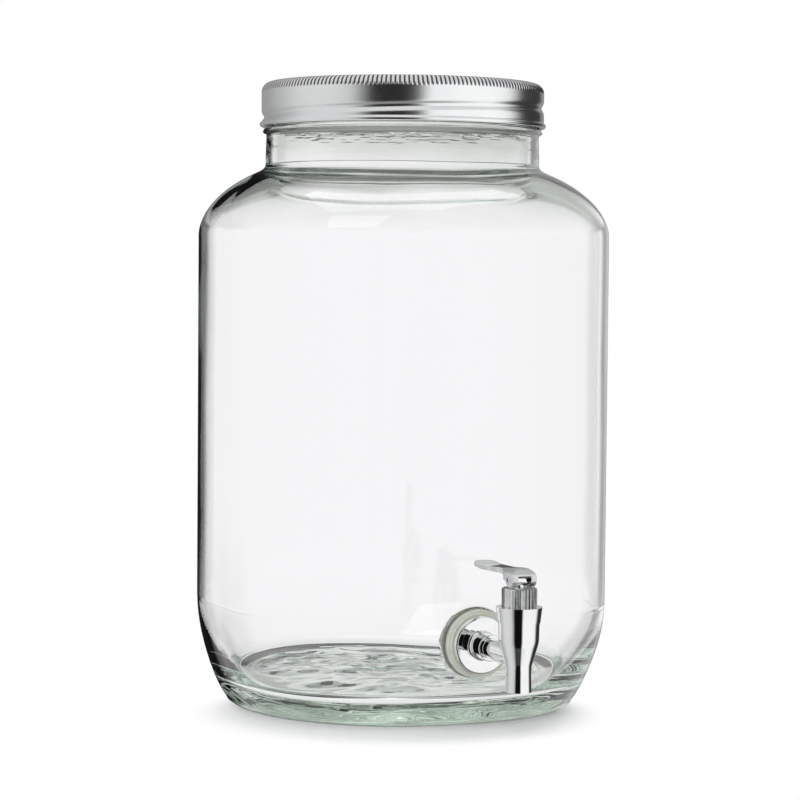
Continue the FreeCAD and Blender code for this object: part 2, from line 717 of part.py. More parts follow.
def make_return_spring():
    """Wind the spring between the plug and the bonnet."""
    body = tap_body("return_spring")
    sketch = new_sketch(body, "wire_circle", "YZ_Plane")
    add_circle(sketch, "spring_radius", "spring_low", "wire_radius")
    coil = body.newObject("PartDesign::AdditiveHelix", "coil")
    coil.Profile = sketch
    coil.ReferenceAxis = (sketch, ["V_Axis"])
    coil.Mode = "height-turns-angle"
    bind(coil, "Height", "spring_high - spring_low")
    bind(coil, "Turns", "spring_turns")
    return body


def make_pivot_pin():
    """Make the pin that joins the lever to the stem's eye."""
    pin = doc.addObject("Part::Cylinder", "pivot_pin")
    pin.Label = "pivot_pin"
    sideways = FreeCAD.Rotation(FreeCAD.Vector(0, 1, 0), 90)
    pin.Placement = FreeCAD.Placement(FreeCAD.Vector(), sideways)
    bind(pin, "Radius", "pin_radius")
    bind(pin, "Height", "lever_width - 2 * pin_short")
    bind(pin, "Placement.Base.x", "pin_short - lever_width / 2")
    bind(pin, "Placement.Base.y", "-nozzle_y")
    bind(pin, "Placement.Base.z", "spigot_height + pin_z")
    return pin


def make_lever():
    """Make the lever: round cam cheeks set off their pin, a bent arm and a paddle."""
    body = tap_body("lever", "pin_z")
    cheeks = new_sketch(body, "cheek_circle", "YZ_Plane")
    add_circle(cheeks, "-cam_back", "cam_rise", "cam_radius")
    extrude(body, "cheeks", cheeks, "lever_width")

    arm = new_sketch(body, "arm_side", "YZ_Plane")
    add_outline(arm, [
        ("-cam_back", "cam_rise"),
        ("-cam_back", "head_top"),
        ("arm_neck", "arm_low + arm_thickness / 2", "arm_bend"),
        ("paddle_start", "arm_low", "arm_bend"),
        ("lever_length", "arm_low + tip_rise"),
        ("lever_length", "arm_low + tip_rise - arm_thickness"),
        ("paddle_start", "arm_low - arm_thickness", "arm_bend"),
        ("arm_neck", "arm_low - arm_thickness", "arm_bend"),
        ("cam_radius - cam_back", "cam_rise - arm_thickness"),
    ])
    extrude(body, "arm", arm, "lever_width")

    plan = new_sketch(body, "plan", "XY_Plane")
    blank_x = "(lever_width / 2 + trim_margin)"
    blank_front = "-cam_back - cam_radius - trim_margin"
    blank_back = "lever_length + trim_margin"
    add_outline(plan, [
        (blank_x, blank_front),
        (blank_x, blank_back),
        (f"-{blank_x}", blank_back),
        (f"-{blank_x}", blank_front),
    ])
    cheek_x = f"(lever_width / 2 + {PAST})"
    cheek_y = f"-cam_back - cam_radius - {PAST}"
    add_outline(plan, [
        (cheek_x, cheek_y),
        (cheek_x, "cam_radius - cam_back"),
        ("arm_width / 2", "arm_neck", "arm_width"),
        ("paddle_width / 2", "paddle_start", "arm_width"),
        ("paddle_width / 2", "lever_length", "paddle_round"),
        ("-paddle_width / 2", "lever_length", "paddle_round"),
        ("-paddle_width / 2", "paddle_start", "arm_width"),
        ("-arm_width / 2", "arm_neck", "arm_width"),
        (f"-{cheek_x}", "cam_radius - cam_back"),
        (f"-{cheek_x}", cheek_y),
    ])
    extrude(body, "trim", plan, "2 * (head_top + cam_radius + trim_margin)", cut=True)

    front = new_sketch(body, "arch_front", "XZ_Plane", "-arm_neck")
    add_outline(front, [
        (blank_x, "-slot_front - trim_margin"),
        (blank_x, "head_top + trim_margin"),
        (f"-{blank_x}", "head_top + trim_margin"),
        (f"-{blank_x}", "-slot_front - trim_margin"),
    ])
    arch_x = "(lever_width / 2 + cheek_gap)"
    arch_top = "head_top + cheek_gap"
    add_outline(front, [
        (arch_x, "-slot_front"),
        (arch_x, arch_top, "arch_round"),
        (f"-{arch_x}", arch_top, "arch_round"),
        (f"-{arch_x}", "-slot_front"),
    ])
    arch_length = "arm_neck + slot_front + trim_margin"
    extrude(body, "arch", front, arch_length, cut=True, reverse=True, both_ways=False)

    slot = new_sketch(body, "slot_side", "YZ_Plane")
    rise = "slot_radius * sin(lever_travel)"
    tangent = "slot_radius * cos(lever_travel)"
    add_outline(slot, [
        ("slot_radius", f"{rise} + (slot_radius + {tangent}) * slot_slope", "slot_radius"),
        ("-slot_front", f"{rise} + ({tangent} - slot_front) * slot_slope"),
        ("-slot_front", "-slot_front"),
        ("slot_radius", "-slot_front"),
    ])
    extrude(body, "slot", slot, "slot_width", cut=True)

    hole = new_sketch(body, "pivot_circle", "YZ_Plane")
    add_circle(hole, "0", "0", "pin_radius + pin_gap")
    extrude(body, "pivot_hole", hole, f"lever_width + {2 * PAST}", cut=True)
    return body


def check_and_write(pieces):
    """Stop if anything failed to build, then write each piece to a file of its own name."""
    doc.recompute()
    for item in doc.Objects:
        if "Invalid" in item.State or "Error" in item.State:
            raise RuntimeError(f"{item.Name} did not build: {item.State}")
    for piece in pieces:
        if piece.Shape.isNull() or not piece.Shape.isValid():
            raise RuntimeError(f"{piece.Label} has no valid shape")
    os.makedirs("parts", exist_ok=True)
    for piece in pieces:
        piece.Shape.exportStep(f"parts/{piece.Label}.step")
        print(f"{piece.Label}: {len(piece.Shape.Solids)} solid, {piece.Shape.Volume:.1f} mm3")


check_and_write([
    make_glass_jar(),
    make_lid_shell(),
    make_lid_liner(),
    make_spigot_body(),
    make_outer_washer(),
    make_inner_washer(),
    make_lock_nut(),
    make_bonnet(),
    make_valve_stem(),
    make_valve_plug(),
    make_stem_o_ring(),
    make_return_spring(),
    make_pivot_pin(),
    make_lever(),
])
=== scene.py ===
"""Looks of the glass jar dispenser: clear pressed glass, a satin screw lid and a chromed lever tap.

Sizes are in millimetres, and become metres where a mesh or a material is made. Angles are in degrees.
"""
import math

import bpy
from mathutils import Matrix, Vector, noise


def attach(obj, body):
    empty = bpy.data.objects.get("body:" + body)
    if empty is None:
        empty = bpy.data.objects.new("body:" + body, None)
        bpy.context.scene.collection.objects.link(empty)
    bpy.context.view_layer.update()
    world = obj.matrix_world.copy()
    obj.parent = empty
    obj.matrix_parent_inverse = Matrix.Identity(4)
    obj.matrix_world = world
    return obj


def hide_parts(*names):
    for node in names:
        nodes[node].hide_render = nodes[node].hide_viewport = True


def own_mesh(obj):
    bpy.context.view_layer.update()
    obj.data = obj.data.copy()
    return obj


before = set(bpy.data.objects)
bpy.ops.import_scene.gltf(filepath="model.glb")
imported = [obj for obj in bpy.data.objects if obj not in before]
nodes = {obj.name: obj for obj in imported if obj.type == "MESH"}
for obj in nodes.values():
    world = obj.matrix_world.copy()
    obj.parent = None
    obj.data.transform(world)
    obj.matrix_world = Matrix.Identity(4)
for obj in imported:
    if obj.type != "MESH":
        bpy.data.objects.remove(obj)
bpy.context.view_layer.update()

MM = 0.001

# Camera, found from the outline of the jar and the places of its tap
IMAGE_SIZE = 800
SENSOR = 36.0
FOCAL_PIXELS = 2626.6
CAMERA_AZIMUTH = -22.2
CAMERA_DISTANCE = 1335.0
CAMERA_HEIGHT = 221.0
CAMERA_PITCH = 2.965
CAMERA_ROLL = 0.48
CAMERA_SHIFT = 0.4
TAP_ANGLE = -90.0
CAMERA_ANGLE = TAP_ANGLE + CAMERA_AZIMUTH

# Glass jar: outside, wall and base, with sections that are round at a power of 2 and squarer above it
BODY_HALF = 98.5
WALL = 4.6
BASE_THICKNESS = 9.5
ROUND_POWER = 2.0
SECTION_POWER = 2.6
FOOT_POWER = 2.15
HEEL_HEIGHT = 50.0
HEEL_INSET = 16.0
HEEL_POWER = 1.8
HEEL_SHARE = 0.97
FOOT_ROUND = 1.4
FOOT_HOLLOW = 1.5
HOLLOW_POWER = 4
SHOULDER_Z = 235.0
SHOULDER_HEIGHT = 35.0
SHOULDER_POWER = 1.85
NECK_RADIUS = 68.9
NECK_OVERLAP = 13.8
NECK_ROUND = 4.0
BEAD_BOTTOM = 286.0
BEAD_HEIGHT = 3.2
BEAD_PROUD = 1.9
FINISH_RADIUS = 68.5
FINISH_GAP = 0.3
MOUTH_RADIUS = 63.4
RIM_Z = 308.4
RIM_ROUND = 1.6

# Ripple of the wall, and the inside of the base, which turns up towards the wall and is wavy in its middle
RIPPLE = 0.12
RIPPLE_TURNS = (5, 3)
RIPPLE_LENGTHS = (31.0, 47.0)
BOWL_RISE = 6.5
BOWL_FLAT = 0.72
BOWL_TURN = 0.96
FLOOR_SHARES = (0.03, 0.985)
FLOOR_WAVE = 1.8
WAVE_REACH = (55.0, 80.0)
LONG_WAVE = (30.0, 22.0)
SHORT_WAVE = (12.0, 9.0)
SHORT_WAVE_SLICE = 7.0
SHORT_WAVE_SHARE = 1 / 3

# Screw thread that the lid and the glass share
THREAD_PITCH = 11.5
THREAD_MIDDLE_Z = 297.0
RIDGE_LIFT = 4.6
RIDGE_HEIGHT = 1.3
RIDGE_WIDTH = 1.5
GROOVE_DEPTH = 1.3
GROOVE_WIDTH = 1.8
THREAD_FADE = 0.06

# Tap, and the boss that it is clamped to
TAP_Z = 40.8
TAP_REACH = 146.5
TAP_HOLE = 8.3
BOSS_FACE = 99.5
BOSS_DEPTH = 6.6
BOSS_RADIUS = 16.2
BOSS_EDGE = 1.2
PAD_RADIUS = 15.0
PAD_EDGE = 1.6
RIB_COUNT = 30
RIB_DEPTH = 0.8

# Lid
LID_BOTTOM = 289.5
LID_TOP = 312.0
LID_RADIUS = 71.4
LID_SHEET = 0.6
LID_CORNER = 5.0
LID_LAND = 9.0
PANEL_RECESS = 1.2
PANEL_SHARES = (0.95, 0.93, 0.91, 0.89, 0.6, 0.3, 0.1)
HEM_RADIUS = 1.3
HEM_PROUD = 1.0
IN_SKIRT_GAP = 1.0
ON_SKIRT_GAP = 0.5
MILL_COUNT = 200
MILL_DEPTH = 0.45
MILL_LOW = 306.8

# How finely the jar is divided: degrees between its columns, and rings on each of its faces
COARSE_STEP = 2.0
FINE_STEP = 0.5
FINE_HALF_ANGLE = 13.0
RINGS_UNDER_BASE = 10
RINGS_ON_FOOT = 4
RINGS_BELOW_TAP = 12
RINGS_BESIDE_TAP = 56
RINGS_UP_SIDE = 26
RINGS_ON_SHOULDER = 44
RINGS_ON_BEAD = 15
RINGS_ON_FINISH = 30
RINGS_ON_RIM = 11
RINGS_ON_FLOOR = 48
DRILL_SIDES = 64
DRILL_MARGIN = 2.0

# How finely the lid is divided
COLUMNS_PER_MILL = 4
RINGS_UNDER_PANEL = 6
RINGS_IN_CORNER = 9
RINGS_IN_SKIRT = 18
RINGS_ON_HEM = 12
RINGS_ON_SKIRT = 26
RINGS_ON_CORNER = 12
RINGS_ON_PANEL_EDGE = 3

# Colour of the glass: green with painted shade in its thick base, painted shade in patches on its shoulder
# and its neck, and the streaks of the neck
CLEAR = (1.0, 1.0, 1.0, 1.0)
# Thick base: the green of thick glass, deepened as painted shade of the floor under the jar
BASE_GREEN_AND_SHADE = (0.77, 0.81, 0.77, 1.0)
FLOOR_EDGE = (78.0, 86.0)
FLOOR_TOP = (12.0, 16.0)
# Shoulder and neck: patches of painted shade, partly the green of thick glass
SHOULDER_PAINTED_SHADE = (0.86, 0.88, 0.86)
SHOULDER_LIGHT = (0.99, 0.99, 0.99)
SHOULDER_FOOT = (238.0, 262.0)
NECK_PAINTED_SHADE = (0.72, 0.74, 0.71)
NECK_LIGHT = (0.90, 0.92, 0.89)
NECK_FOOT = (272.0, 282.0)
STREAK_DEPTH = 0.4
RIPPLE_SHARE = 0.3
GLASS_BODY = (0.64, 0.78, 0.67, 1.0)
GLASS_DENSITY = 7.0

# Part of a pattern's range over which a surface changes from its first colour to its second
TINT_RANGE = (0.35, 0.65)

# Notches of the lid's milled edge, darkened with painted shade
NOTCH_PAINTED_SHADE = (0.10, 0.10, 0.11, 1.0)
NOTCH_RANGE = (-0.3, 0.7)
NOTCH_RISE = 1.0
NOTCH_EDGE = 2.0

# Studio: how bright the surroundings are, by the angle from straight behind the object, left below 0
MIRROR_STOPS = [
    (-180, 0.004),
    (-155, 0.004),
    (-138, 0.62),
    (-120, 0.72),
    (-92, 0.72),
    (-60, 0.45),
    (-36, 0.34),
    (24, 0.3),
    (32, 0.03),
    (68, 0.03),
    (86, 0.95),
    (100, 1.0),
    (158, 1.0),
    (168, 0.004),
    (180, 0.004),
]
GLASS_STOPS = [
    (-180, 0.85),
    (-72, 0.85),
    (-60, 0.02),
    (-38, 0.02),
    (-28, 1.0),
    (20, 1.0),
    (31, 0.3),
    (56, 0.3),
    (70, 0.85),
    (180, 0.85),
]
BOUNCE_STOPS = [
    (-180, 0.9),
    (-33, 0.9),
    (-25, 0.01),
    (3, 0.01),
    (9, 0.06),
    (30, 0.06),
    (38, 0.9),
    (180, 0.9),
]
SHEEN_STOPS = [
    (-180, 1.0),
    (-40, 1.0),
    (-32, 0.02),
    (-2, 0.02),
    (2, 0.5),
    (14, 0.5),
    (22, 1.0),
    (180, 1.0),
]

# Studio: its colours, and how steeply a view of it goes up or down where its ceiling or its floor begins
WHITE = (1.0, 1.0, 1.0, 1.0)
BLACK = (0.0, 0.0, 0.0, 1.0)
BACKDROP = (0.955, 0.935, 0.96, 1.0)
EVEN_LIGHT = (0.9, 0.9, 0.9, 1.0)
MIRROR_TOP = (0.72, 0.72, 0.73, 1.0)
MIRROR_TOP_RISE = (0.45, 0.7)
MIRROR_FLOOR = (0.25, 0.25, 0.25, 1.0)
MIRROR_FLOOR_FALL = (-0.6, -0.85)
GLASS_TOP = (0.46, 0.49, 0.46, 1.0)
GLASS_TOP_RISE = (0.15, 0.45)

# Light that has bounced once inside the glass, or more often, or has gone through both walls of the jar
BOUNCE_LEVEL = (0.16, 0.1)
PIPED_BOUNCES = 1.5
PIPED_DARK = (0.22, 0.25, 0.23, 1.0)
PIPED_LIGHT = (0.86, 0.88, 0.86, 1.0)
PIPED_SCALE = 3.0
PIPED_RANGE = (0.4, 0.55)
THROUGH_WALLS = 3.5

# Bounces that are followed, so that light in the thick base isn't cut off
GLASS_BOUNCES = 12

# Oval of the floor that shows the shadow
SHADOW_MIDDLE = -50.0
SHADOW_WIDTH = 105.0
SHADOW_LENGTH = 95.0
SHADOW_SOFT = 0.7

# Floor and lamps, with their sizes and places in metres
FLOOR_SIZE = 3.0
FLOOR_DROP = 0.0002
# Grey of the floor near the object: painted shade that deepens its shadow
FLOOR_SHADE_GREY = (0.84, 0.85, 0.85, 1.0)
# Light that the floor gives off where glass looks at it: painted light
FLOOR_PAINTED_LIGHT = 0.4
KEY_LAMP_PLACE = (-0.9, -1.0, 1.5)
KEY_LAMP_SIZE = 1.2
TOP_LAMP_PLACE = (0.1, 0.2, 1.7)
TOP_LAMP_SIZE = 1.4
LAMP_AIM = (0.0, 0.0, 0.15)
LAMP_WATTS = 9.0


def spread(low, high, count):
    """Give evenly spaced values from low to high, both included."""
    return [low + (high - low) * step / (count - 1) for step in range(count)]


def smooth_step(share):
    """Ease a share from 0 to 1."""
    share = min(max(share, 0.0), 1.0)
    return share * share * (3 - 2 * share)


def soft_max(first, second, rounding):
    """Give the larger of two values, rounded where they cross."""
    return (first + second + math.hypot(first - second, rounding)) / 2


def bell(distance, width):
    """Give a smooth bump that is 1 at its middle."""
    return math.exp(-(distance / width) ** 2)


def new_piece(name, points, faces):
    """Make a smooth-shaded mesh object and put it in the scene."""
    mesh = bpy.data.meshes.new(name)
    mesh.from_pydata(points, [], faces)
    mesh.shade_smooth()
    piece = bpy.data.objects.new(name, mesh)
    bpy.context.scene.collection.objects.link(piece)
    return piece


def revolve(name, rows, angles, place):
    """Make a closed smooth mesh from rings round the upright axis, with a pole before and after them."""
    count = len(angles)
    points = [place(row, angle) for row in rows for angle in angles]
    last = (len(rows) - 1) * count
    faces = []
    for start in range(0, last, count):
        for column in range(count):
            after = (column + 1) % count
            faces.append((start + column, start + after, start + count + after, start + count + column))
    first_pole = len(points)
    for column in range(count):
        after = (column + 1) % count
        faces.append((first_pole, after, column))
        faces.append((last + column, last + after, first_pole + 1))
    for ring in (points[:count], points[last:]):
        points.append(Vector((0.0, 0.0, sum(point.z for point in ring) / count)))
    return new_piece(name, [point * MM for point in points], faces)


def section_reach(half_width, power, angle):
    """Give the reach of a rounded-square section at an angle: power 2 is a circle."""
    across = abs(math.cos(angle)) ** power
    along = abs(math.sin(angle)) ** power
    return half_width / (across + along) ** (1 / power)


def jar_section(half_width, floor_z, top_z, neck_radius, height):
    """Give the half width and the squareness of the jar's body at a height."""
    if height < HEEL_HEIGHT:
        drop = (HEEL_HEIGHT - height) / (HEEL_HEIGHT - floor_z)
        curve = (1 - (drop * HEEL_SHARE) ** HEEL_POWER) ** (1 / HEEL_POWER)
        power = SECTION_POWER + (FOOT_POWER - SECTION_POWER) * smooth_step(drop)
        return half_width - HEEL_INSET * (1 - curve), power
    rise = min(max((height - SHOULDER_Z) / (top_z - SHOULDER_Z), 0.0), 1.0) ** SHOULDER_POWER
    curve = (1 - rise) ** (1 / SHOULDER_POWER)
    inset = (half_width - neck_radius + NECK_OVERLAP) * (1 - curve)
    half = soft_max(half_width - inset, neck_radius, NECK_ROUND)
    return half, SECTION_POWER + (ROUND_POWER - SECTION_POWER) * rise


def jar_heights(low):
    """Give the heights of the rings up one face of the body, closest together beside the tap."""
    boss_low = TAP_Z - BOSS_RADIUS - 2 * BOSS_EDGE
    boss_high = TAP_Z + BOSS_RADIUS + 2 * BOSS_EDGE
    below = spread(low, boss_low, RINGS_BELOW_TAP)
    beside = spread(boss_low, boss_high, RINGS_BESIDE_TAP)
    sides = spread(boss_high, SHOULDER_Z, RINGS_UP_SIDE)
    shoulder = spread(SHOULDER_Z, SHOULDER_Z + SHOULDER_HEIGHT + NECK_ROUND, RINGS_ON_SHOULDER)
    return below + beside[1:] + sides[1:] + shoulder[1:]


def bowl_rise(share):
    """Give how far the inside of the base has turned up towards the wall, at a share of its radius."""
    turn = max(share - BOWL_FLAT, 0.0) / (1 - BOWL_FLAT)
    return BOWL_RISE * (1 - math.sqrt(1 - BOWL_TURN * turn * turn)) / (1 - math.sqrt(1 - BOWL_TURN))


def base_rows(foot):
    """List the rings under the base and round its edge."""
    rows = []
    for share in spread(0.1, 1.0, RINGS_UNDER_BASE):
        hollow = FOOT_HOLLOW * (1 - share ** HOLLOW_POWER)
        rows.append(((foot - FOOT_ROUND) * share, FOOT_POWER, hollow, "base"))
    for angle in spread(-75, -25, RINGS_ON_FOOT):
        across = foot - FOOT_ROUND + FOOT_ROUND * math.cos(math.radians(angle))
        up = FOOT_ROUND + FOOT_ROUND * math.sin(math.radians(angle))
        rows.append((across, FOOT_POWER, up, "base"))
    return rows


def neck_rows():
    """List the rings of the neck: its bead, its threaded finish and its rim."""
    rows = [(NECK_RADIUS, ROUND_POWER, BEAD_BOTTOM - BEAD_HEIGHT / 2, "neck")]
    for angle in spread(-90, 90, RINGS_ON_BEAD):
        out = BEAD_PROUD * math.cos(math.radians(angle))
        up = BEAD_HEIGHT / 2 * (1 + math.sin(math.radians(angle)))
        side = NECK_RADIUS if angle < 0 else FINISH_RADIUS
        rows.append((side + out, ROUND_POWER, BEAD_BOTTOM + up, "neck"))
    for height in spread(BEAD_BOTTOM + BEAD_HEIGHT + FINISH_GAP, RIM_Z - RIM_ROUND, RINGS_ON_FINISH):
        rows.append((FINISH_RADIUS, ROUND_POWER, height, "thread"))
    for angle in spread(0, 180, RINGS_ON_RIM):
        middle = FINISH_RADIUS - RIM_ROUND if angle < 90 else MOUTH_RADIUS + RIM_ROUND
        across = middle + RIM_ROUND * math.cos(math.radians(angle))
        up = RIM_Z - RIM_ROUND + RIM_ROUND * math.sin(math.radians(angle))
        rows.append((across, ROUND_POWER, up, "neck"))
    return rows


def jar_rows():
    """List the rings of the jar from under its base, up outside, over the rim and down inside."""
    outer_top = SHOULDER_Z + SHOULDER_HEIGHT
    inner_top = outer_top - WALL
    rows = base_rows(jar_section(BODY_HALF, 0.0, outer_top, NECK_RADIUS, FOOT_ROUND)[0])
    for height in jar_heights(FOOT_ROUND):
        half, power = jar_section(BODY_HALF, 0.0, outer_top, NECK_RADIUS, height)
        rows.append((half, power, height, "outer"))
    rows += neck_rows()
    for height in reversed(jar_heights(BASE_THICKNESS + BOWL_RISE)):
        half, power = jar_section(BODY_HALF - WALL, BASE_THICKNESS, inner_top, MOUTH_RADIUS, height)
        rows.append((half, power, height, "inner"))
    inner_foot = rows[-1][0]
    for share in reversed(spread(*FLOOR_SHARES, RINGS_ON_FLOOR)):
        rows.append((inner_foot * share, FOOT_POWER, BASE_THICKNESS + bowl_rise(share), "floor"))
    return rows


def thread_place(angle):
    """Give how far round the thread an angle lies, from 0 to 1, with its middle in front."""
    return ((angle - math.radians(CAMERA_ANGLE)) / math.tau + 0.5) % 1.0


def thread_bump(angle, height, lift, width):
    """Give the share of a thread's full height at a place on the glass or on the lid."""
    share = thread_place(angle)
    middle = THREAD_MIDDLE_Z + lift + THREAD_PITCH * (share - 0.5)
    fade = smooth_step(share / THREAD_FADE) * smooth_step((1 - share) / THREAD_FADE)
    return fade * bell(height - middle, width)


def press_boss(point, plane, radius, edge):
    """Flatten the glass round the tap hole to a face of this radius, with an edge that is this wide."""
    distance = math.hypot(point.x, point.z - TAP_Z)
    if point.y < 0:
        point.y += (plane - point.y) * smooth_step((radius + edge - distance) / edge)
    return point


def floor_wave(point):
    """Give the height of the waves that the mould leaves on the inside of the base."""
    long_wave = noise.noise(Vector((point.x / LONG_WAVE[0], point.y / LONG_WAVE[1], 0.0)))
    short_place = Vector((point.x / SHORT_WAVE[0], point.y / SHORT_WAVE[1], SHORT_WAVE_SLICE))
    short_wave = noise.noise(short_place)
    start, end = WAVE_REACH
    fade = 1 - smooth_step((math.hypot(point.x, point.y) - start) / (end - start))
    return FLOOR_WAVE * fade * (long_wave + SHORT_WAVE_SHARE * short_wave)


def wall_ripple(angle, height):
    """Give the ripple of pressed glass on the inside of the wall."""
    first = math.sin(RIPPLE_TURNS[0] * angle + height / RIPPLE_LENGTHS[0])
    second = math.sin(RIPPLE_TURNS[1] * angle - height / RIPPLE_LENGTHS[1])
    return RIPPLE * first * second


def jar_point(row, angle):
    """Place one point of the glass, with its thread, its boss and the ripple of pressed glass."""
    half, power, height, face = row
    reach = section_reach(half, power, angle)
    if face == "thread":
        reach += RIDGE_HEIGHT * thread_bump(angle, height, RIDGE_LIFT, RIDGE_WIDTH)
    if face == "inner":
        reach += wall_ripple(angle, height)
    point = Vector((reach * math.cos(angle), reach * math.sin(angle), height))
    if face == "floor":
        point.z += floor_wave(point)
    if face == "outer":
        return press_boss(point, -BOSS_FACE, BOSS_RADIUS, BOSS_EDGE)
    if face == "inner":
        return press_boss(point, BOSS_DEPTH - BOSS_FACE, PAD_RADIUS, PAD_EDGE)
    return point


def jar_angles():
    """List the columns of the jar, closest together beside the tap."""
    fine = spread(-FINE_HALF_ANGLE, FINE_HALF_ANGLE, int(2 * FINE_HALF_ANGLE / FINE_STEP) + 1)
    coarse_count = int((360 - 2 * FINE_HALF_ANGLE) / COARSE_STEP)
    coarse = spread(FINE_HALF_ANGLE, 360 - FINE_HALF_ANGLE, coarse_count)
    return [math.radians(TAP_ANGLE + angle) for angle in fine + coarse[1:-1]]


def cut_tap_hole(jar):
    """Drill the hole for the tap's tail through the boss."""
    points = []
    for along in (-BOSS_FACE - DRILL_MARGIN, BOSS_DEPTH - BOSS_FACE + DRILL_MARGIN):
        for step in range(DRILL_SIDES):
            angle = math.tau * step / DRILL_SIDES
            across = TAP_HOLE * math.cos(angle)
            up = TAP_Z + TAP_HOLE * math.sin(angle)
            points.append(Vector((across, along, up)) * MM)
    faces = [tuple(range(DRILL_SIDES)), tuple(range(2 * DRILL_SIDES - 1, DRILL_SIDES - 1, -1))]
    for step in range(DRILL_SIDES):
        after = (step + 1) % DRILL_SIDES
        faces.append((step, DRILL_SIDES + step, DRILL_SIDES + after, after))
    drill = new_piece("drill", points, faces)
    cut = jar.modifiers.new("tap_hole", "BOOLEAN")
    cut.object = drill
    cut.operation = "DIFFERENCE"
    cut.solver = "EXACT"
    graph = bpy.context.evaluated_depsgraph_get()
    drilled = bpy.data.meshes.new_from_object(jar.evaluated_get(graph))
    jar.modifiers.clear()
    jar.data = drilled
    bpy.data.objects.remove(drill)


def make_jar():
    """Build the pressed glass jar, which stands for the plain CAD one."""
    jar = revolve("jar_glass", jar_rows(), jar_angles(), jar_point)
    cut_tap_hole(jar)
    jar.data.materials.append(glass_material())
    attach(jar, "jar")
    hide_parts("glass_jar")


def corner_arc(middle, up, radius, low, high, count):
    """List points on an arc of the lid's outline, as radius and height."""
    points = []
    for angle in spread(math.radians(low), math.radians(high), count):
        points.append((middle + radius * math.cos(angle), up + radius * math.sin(angle)))
    return points


def lid_rows():
    """List the rings of the lid from under its panel, down inside, round the hem, up outside and over."""
    inside = LID_RADIUS - LID_SHEET
    corner_z = LID_TOP - LID_CORNER
    edge = LID_RADIUS - LID_LAND
    panel = LID_TOP - PANEL_RECESS
    under = panel - LID_SHEET
    hem_z = LID_BOTTOM + HEM_RADIUS
    half_recess = PANEL_RECESS / 2
    land_edge = edge + 2 * PANEL_RECESS
    skirt_inside = spread(corner_z - IN_SKIRT_GAP, hem_z + IN_SKIRT_GAP, RINGS_IN_SKIRT)
    skirt_outside = spread(hem_z + HEM_RADIUS, corner_z - ON_SKIRT_GAP, RINGS_ON_SKIRT)
    rows = [(edge * share, under) for share in spread(0.15, 1.0, RINGS_UNDER_PANEL)]
    rows += [(edge + PANEL_RECESS, LID_TOP - LID_SHEET)]
    rows += corner_arc(LID_RADIUS - LID_CORNER, corner_z, LID_CORNER - LID_SHEET, 90, 0, RINGS_IN_CORNER)
    rows += [(inside, height) for height in skirt_inside]
    rows += corner_arc(LID_RADIUS + HEM_PROUD - HEM_RADIUS, hem_z, HEM_RADIUS, 190, 395, RINGS_ON_HEM)
    rows += [(LID_RADIUS, height) for height in skirt_outside]
    rows += corner_arc(LID_RADIUS - LID_CORNER, corner_z, LID_CORNER, 0, 90, RINGS_ON_CORNER)
    rows += corner_arc(land_edge, LID_TOP - half_recess, half_recess, 90, 150, RINGS_ON_PANEL_EDGE)
    rows += corner_arc(edge, panel + half_recess, half_recess, -30, -90, RINGS_ON_PANEL_EDGE)
    rows += [(edge * share, panel) for share in PANEL_SHARES]
    return rows


def lid_point(row, angle):
    """Place one point of the lid, with its rolled thread and the milling of its edge."""
    radius, height = row
    if radius > LID_RADIUS - 2 * LID_SHEET:
        above_hem = smooth_step((height - LID_BOTTOM - 2 * HEM_RADIUS) / HEM_RADIUS)
        radius -= GROOVE_DEPTH * above_hem * thread_bump(angle, height, 0.0, GROOVE_WIDTH)
    if radius > LID_RADIUS - LID_CORNER:
        radius -= MILL_DEPTH * smooth_step(height - MILL_LOW) * (1 + math.cos(MILL_COUNT * angle)) / 2
    return Vector((radius * math.cos(angle), radius * math.sin(angle), height))


def make_lid():
    """Build the satin lid, which stands for the plain CAD one."""
    columns = MILL_COUNT * COLUMNS_PER_MILL
    angles = [math.tau * step / columns for step in range(columns)]
    lid = revolve("lid_metal", lid_rows(), angles, lid_point)
    lid.data.materials.append(lid_material())
    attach(lid, "lid")
    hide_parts("lid_shell")


def make_spring():
    """Copy the coil of the valve into a piece of its own, in drawn steel, fixed to the jar."""
    coil = bpy.data.objects.new("spring_coil", nodes["return_spring"].data.copy())
    bpy.context.scene.collection.objects.link(coil)
    coil.data.materials.clear()
    coil.data.materials.append(steel_material())
    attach(coil, "jar")
    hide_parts("return_spring")
    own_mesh(coil)


def smooth_range(tree, value, low, high):
    """Add a node that eases a value from 0 at low to 1 at high."""
    span = tree.nodes.new("ShaderNodeMapRange")
    span.interpolation_type = "SMOOTHSTEP"
    span.inputs["From Min"].default_value = low
    span.inputs["From Max"].default_value = high
    tree.links.new(value, span.inputs["Value"])
    return span.outputs["Result"]


def size_range(tree, value, limits):
    """Ease a length from 0 to 1 between two limits in millimetres."""
    return smooth_range(tree, value, limits[0] * MM, limits[1] * MM)


def combine(tree, operation, first, second):
    """Add a node that works out two numbers, each a plain one or the output of a node."""
    node = tree.nodes.new("ShaderNodeMath")
    node.operation = operation
    for socket, number in zip(node.inputs, (first, second)):
        if isinstance(number, (int, float)):
            socket.default_value = number
        else:
            tree.links.new(number, socket)
    return node.outputs["Value"]


def blend_colours(tree, share, first, second):
    """Mix two colours, each a plain one or the output of a node, and give the result's socket."""
    mix = tree.nodes.new("ShaderNodeMix")
    mix.data_type = "RGBA"
    colours = [socket for socket in mix.inputs if socket.type == "RGBA"]
    result = [socket for socket in mix.outputs if socket.type == "RGBA"][0]
    tree.links.new(share, mix.inputs["Factor"])
    for socket, colour in zip(colours, (first, second)):
        if isinstance(colour, tuple):
            socket.default_value = colour
        else:
            tree.links.new(colour, socket)
    return result


